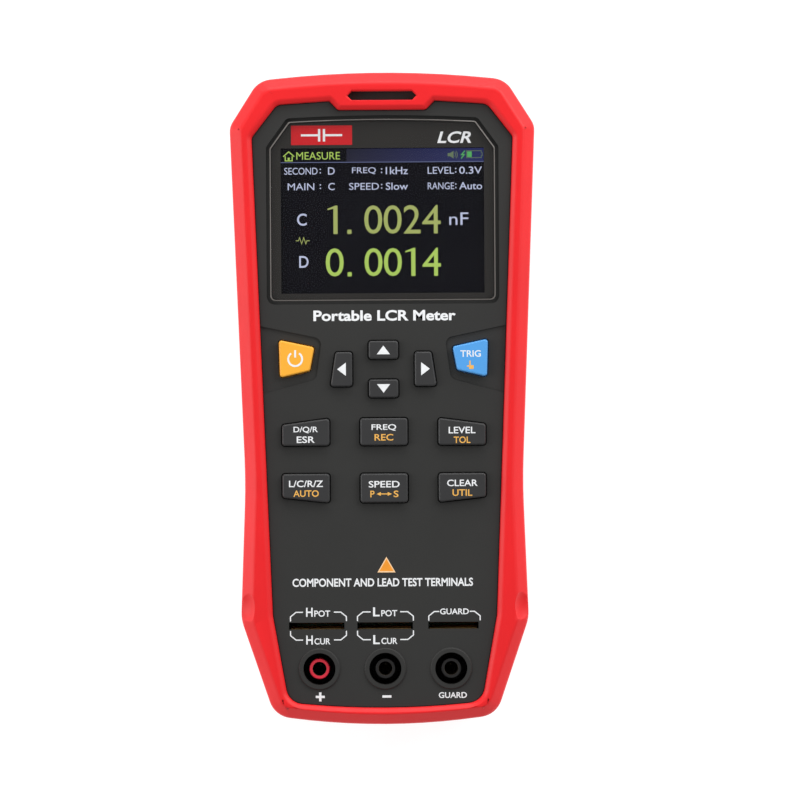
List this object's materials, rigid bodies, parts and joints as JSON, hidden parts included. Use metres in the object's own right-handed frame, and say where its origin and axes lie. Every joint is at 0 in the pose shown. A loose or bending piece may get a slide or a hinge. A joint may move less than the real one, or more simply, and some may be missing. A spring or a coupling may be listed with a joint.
{
  "type": "handheld lcr meter",
  "caption": "Handheld component meter in a rubber holster, with a colour display, rubber keys, component slots, safety sockets and a folding stand.",
  "frame": {"origin": "middle of the holster's back rim, on the plane that it rests on", "axes": "+X to the meter's right, +Y along the meter towards the display end, +Z out of the face"},
  "size_m": [0.0878, 0.188, 0.044],
  "materials": {
    "holster_rubber": "matte moulded rubber",
    "case_plastic": "fine textured dark grey",
    "key_rubber": "matte dark silicone",
    "power_key_rubber": "matte amber silicone",
    "trigger_key_rubber": "matte blue silicone",
    "carbon_rubber": "conductive carbon rubber",
    "web_rubber": "matte translucent grey",
    "lens_window": "clear with a dark printed border",
    "display_black": "dark display glass",
    "foam": "closed-cell foam",
    "board_laminate": "green solder mask",
    "polyimide": "amber film",
    "steel": "plated steel",
    "contact_brass": "gold-plated",
    "black_plastic": "black moulding",
    "red_plastic": "red moulding",
    "cell_wrap": "printed film over the can"
  },
  "bodies": {
    "case": {"holster": "holster_rubber", "front_case": "case_plastic", "rear_case": "case_plastic", "case_screws": "steel", "display_lens": "lens_window", "display_gasket": "foam", "display_frame": "steel", "display_glass": "display_black", "display_ribbon": "polyimide", "keypad_mat": "web_rubber", "display_board": "board_laminate", "display_board_screws": "steel", "main_board": "board_laminate", "main_board_screws": "steel", "header_socket": "black_plastic", "header_pins": "black_plastic", "shield_can": "steel", "buzzer": "black_plastic", "terminal_block": "black_plastic", "high_slot_contacts": "contact_brass", "low_slot_contacts": "contact_brass", "guard_slot_contacts": "contact_brass", "high_socket_insulator": "red_plastic", "low_socket_insulator": "black_plastic", "guard_socket_insulator": "black_plastic", "high_socket_contact": "contact_brass", "low_socket_contact": "contact_brass", "guard_socket_contact": "contact_brass", "battery_cell": "cell_wrap", "battery_contacts": "steel", "battery_cover": "case_plastic", "battery_cover_screws": "steel", "charging_socket": "steel"},
    "stand": {"stand": "case_plastic"},
    "port_cover": {"port_cover": "holster_rubber"},
    "power_key": {"key_power": "power_key_rubber", "puck_power": "carbon_rubber"},
    "trigger_key": {"key_trigger": "trigger_key_rubber", "puck_trigger": "carbon_rubber"},
    "up_key": {"key_up": "key_rubber", "puck_up": "carbon_rubber"},
    "down_key": {"key_down": "key_rubber", "puck_down": "carbon_rubber"},
    "left_key": {"key_left": "key_rubber", "puck_left": "carbon_rubber"},
    "right_key": {"key_right": "key_rubber", "puck_right": "carbon_rubber"},
    "dissipation_key": {"key_dissipation": "key_rubber", "puck_dissipation": "carbon_rubber"},
    "frequency_key": {"key_frequency": "key_rubber", "puck_frequency": "carbon_rubber"},
    "level_key": {"key_level": "key_rubber", "puck_level": "carbon_rubber"},
    "parameter_key": {"key_parameter": "key_rubber", "puck_parameter": "carbon_rubber"},
    "speed_key": {"key_speed": "key_rubber", "puck_speed": "carbon_rubber"},
    "clear_key": {"key_clear": "key_rubber", "puck_clear": "carbon_rubber"}
  },
  "joints": [
    {"name": "stand_hinge", "type": "hinge", "parent": "case", "child": "stand", "pos_m": [0, 0.037, 0.0041], "axis": [1, 0, 0], "range_deg": [0, 75]},
    {"name": "port_cover_hinge", "type": "hinge", "parent": "case", "child": "port_cover", "pos_m": [-0.0123, 0.092, 0.03345], "axis": [0, 0, -1], "range_deg": [0, 90]},
    {"name": "power_press", "type": "slide", "parent": "case", "child": "power_key", "axis": [0, 0, -1], "range_m": [0, 0.0011], "stiffness_N_per_m": 1500},
    {"name": "trigger_press", "type": "slide", "parent": "case", "child": "trigger_key", "axis": [0, 0, -1], "range_m": [0, 0.0011], "stiffness_N_per_m": 1500},
    {"name": "up_press", "type": "slide", "parent": "case", "child": "up_key", "axis": [0, 0, -1], "range_m": [0, 0.0011], "stiffness_N_per_m": 1500},
    {"name": "down_press", "type": "slide", "parent": "case", "child": "down_key", "axis": [0, 0, -1], "range_m": [0, 0.0011], "stiffness_N_per_m": 1500},
    {"name": "left_press", "type": "slide", "parent": "case", "child": "left_key", "axis": [0, 0, -1], "range_m": [0, 0.0011], "stiffness_N_per_m": 1500},
    {"name": "right_press", "type": "slide", "parent": "case", "child": "right_key", "axis": [0, 0, -1], "range_m": [0, 0.0011], "stiffness_N_per_m": 1500},
    {"name": "dissipation_press", "type": "slide", "parent": "case", "child": "dissipation_key", "axis": [0, 0, -1], "range_m": [0, 0.0011], "stiffness_N_per_m": 1500},
    {"name": "frequency_press", "type": "slide", "parent": "case", "child": "frequency_key", "axis": [0, 0, -1], "range_m": [0, 0.0011], "stiffness_N_per_m": 1500},
    {"name": "level_press", "type": "slide", "parent": "case", "child": "level_key", "axis": [0, 0, -1], "range_m": [0, 0.0011], "stiffness_N_per_m": 1500},
    {"name": "parameter_press", "type": "slide", "parent": "case", "child": "parameter_key", "axis": [0, 0, -1], "range_m": [0, 0.0011], "stiffness_N_per_m": 1500},
    {"name": "speed_press", "type": "slide", "parent": "case", "child": "speed_key", "axis": [0, 0, -1], "range_m": [0, 0.0011], "stiffness_N_per_m": 1500},
    {"name": "clear_press", "type": "slide", "parent": "case", "child": "clear_key", "axis": [0, 0, -1], "range_m": [0, 0.0011], "stiffness_N_per_m": 1500}
  ]
}
